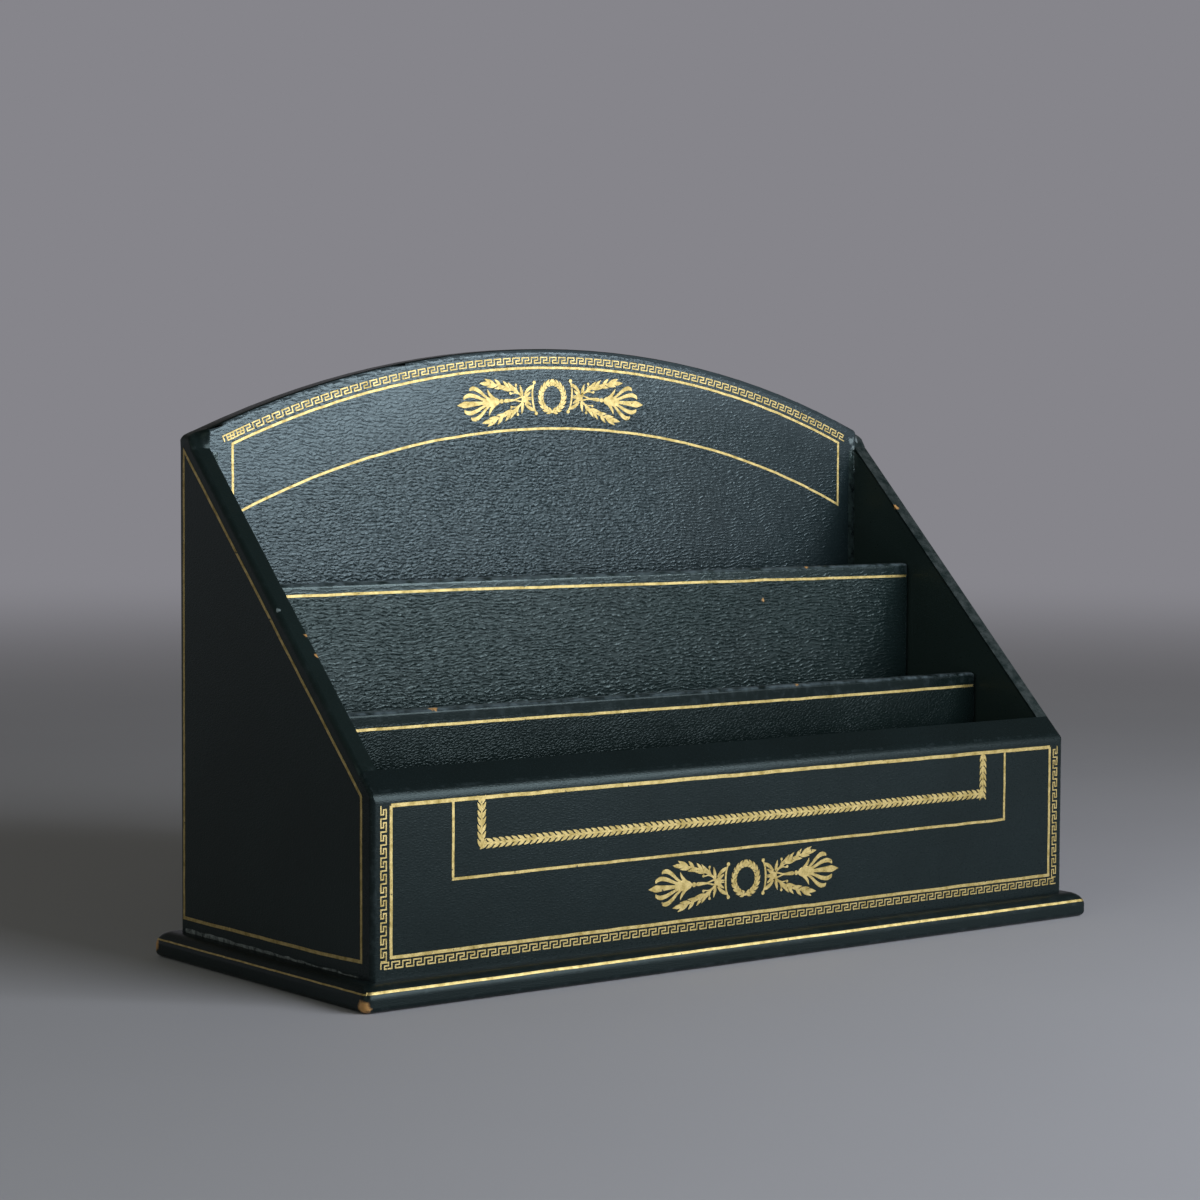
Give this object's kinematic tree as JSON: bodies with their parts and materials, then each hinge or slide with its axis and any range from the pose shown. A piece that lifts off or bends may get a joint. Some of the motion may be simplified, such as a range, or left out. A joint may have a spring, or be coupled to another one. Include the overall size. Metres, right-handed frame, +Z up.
{
  "type": "letter rack",
  "caption": "Leather-covered letter rack with an arched back, sloped sides, dividers for standing letters and a moulded plinth.",
  "frame": {"origin": "middle of the underside, on the surface that the rack stands on", "axes": "+X along the width towards the rack's right seen from its front, +Y from front to back, +Z up"},
  "size_m": [0.3132, 0.1282, 0.2044],
  "materials": {
    "board_wood": "bare, planed",
    "morocco_leather": "dyed, grained, satin",
    "lining_leather": "dyed, smooth, satin",
    "baize": "napped",
    "pin_steel": "bright",
    "screw_brass": "turned",
    "gold_leaf": "hot-tooled leaf, satin"
  },
  "bodies": {
    "root": {"plinth_board": "board_wood", "front_board": "board_wood", "left_side_board": "board_wood", "right_side_board": "board_wood", "back_board": "board_wood", "front_divider_board": "board_wood", "rear_divider_board": "board_wood", "plinth_leather": "morocco_leather", "front_leather": "morocco_leather", "left_side_leather": "morocco_leather", "right_side_leather": "morocco_leather", "back_face_leather": "morocco_leather", "back_rear_leather": "morocco_leather", "front_divider_leather": "morocco_leather", "rear_divider_leather": "morocco_leather", "front_lining": "lining_leather", "left_side_lining": "lining_leather", "right_side_lining": "lining_leather", "floor_lining": "lining_leather", "base_baize": "baize", "panel_pins": "pin_steel", "plinth_screws": "screw_brass"}
  },
  "joints": []
}
